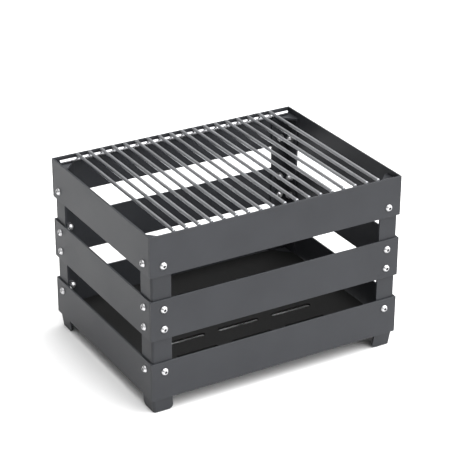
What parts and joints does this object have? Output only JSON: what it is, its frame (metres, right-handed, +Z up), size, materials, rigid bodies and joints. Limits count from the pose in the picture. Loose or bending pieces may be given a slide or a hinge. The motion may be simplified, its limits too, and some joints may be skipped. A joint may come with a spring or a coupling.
{
  "type": "fire pit with grate",
  "caption": "Crate-shaped steel fire pit of open flat bands bolted to folded corner posts, with base plate and lift-out grate of round bars.",
  "frame": {"origin": "on the floor under the middle of the crate", "axes": "+X along the long side to the right as seen from the front, +Y from the front to the back, +Z up"},
  "size_m": [0.4066, 0.3066, 0.2732],
  "materials": {
    "band_coating": "satin dark grey heat-resistant coating with a fine orange peel",
    "post_coating": "satin dark grey heat-resistant coating",
    "base_coating": "matt near-black heat-resistant coating",
    "screw_steel": "polished stainless steel",
    "nut_steel": "polished stainless steel",
    "rod_steel": "bright drawn stainless steel",
    "bar_steel": "drawn stainless steel, slightly dulled"
  },
  "bodies": {
    "crate": {"front_plate_bottom": "band_coating", "front_plate_middle": "band_coating", "front_plate_top": "band_coating", "right_plate_bottom": "band_coating", "right_plate_middle": "band_coating", "right_plate_top": "band_coating", "back_plate_bottom": "band_coating", "back_plate_middle": "band_coating", "back_plate_top": "band_coating", "left_plate_bottom": "band_coating", "left_plate_middle": "band_coating", "left_plate_top": "band_coating", "post_front_left": "post_coating", "post_front_right": "post_coating", "post_back_right": "post_coating", "post_back_left": "post_coating", "screws_front_left": "screw_steel", "screws_front_right": "screw_steel", "screws_right_front": "screw_steel", "screws_right_back": "screw_steel", "screws_back_right": "screw_steel", "screws_back_left": "screw_steel", "screws_left_back": "screw_steel", "screws_left_front": "screw_steel", "nuts_front_left": "nut_steel", "nuts_front_right": "nut_steel", "nuts_right_front": "nut_steel", "nuts_right_back": "nut_steel", "nuts_back_right": "nut_steel", "nuts_back_left": "nut_steel", "nuts_left_back": "nut_steel", "nuts_left_front": "nut_steel"},
    "base": {"base_plate": "base_coating"},
    "grate": {"grate_rod_front": "rod_steel", "grate_rod_back": "rod_steel", "grate_bar_01": "bar_steel", "grate_bar_02": "bar_steel", "grate_bar_03": "bar_steel", "grate_bar_04": "bar_steel", "grate_bar_05": "bar_steel", "grate_bar_06": "bar_steel", "grate_bar_07": "bar_steel", "grate_bar_08": "bar_steel", "grate_bar_09": "bar_steel", "grate_bar_10": "bar_steel", "grate_bar_11": "bar_steel", "grate_bar_12": "bar_steel", "grate_bar_13": "bar_steel", "grate_bar_14": "bar_steel", "grate_bar_15": "bar_steel", "grate_bar_16": "bar_steel", "grate_bar_17": "bar_steel", "grate_bar_18": "bar_steel"}
  },
  "joints": [
    {"name": "grate_lift", "type": "slide", "parent": "crate", "child": "grate", "axis": [0, 0, 1], "range_m": [0, 0.12]},
    {"name": "base_plate_lift", "type": "slide", "parent": "crate", "child": "base", "axis": [0, 0, 1], "range_m": [0, 0.19]}
  ]
}
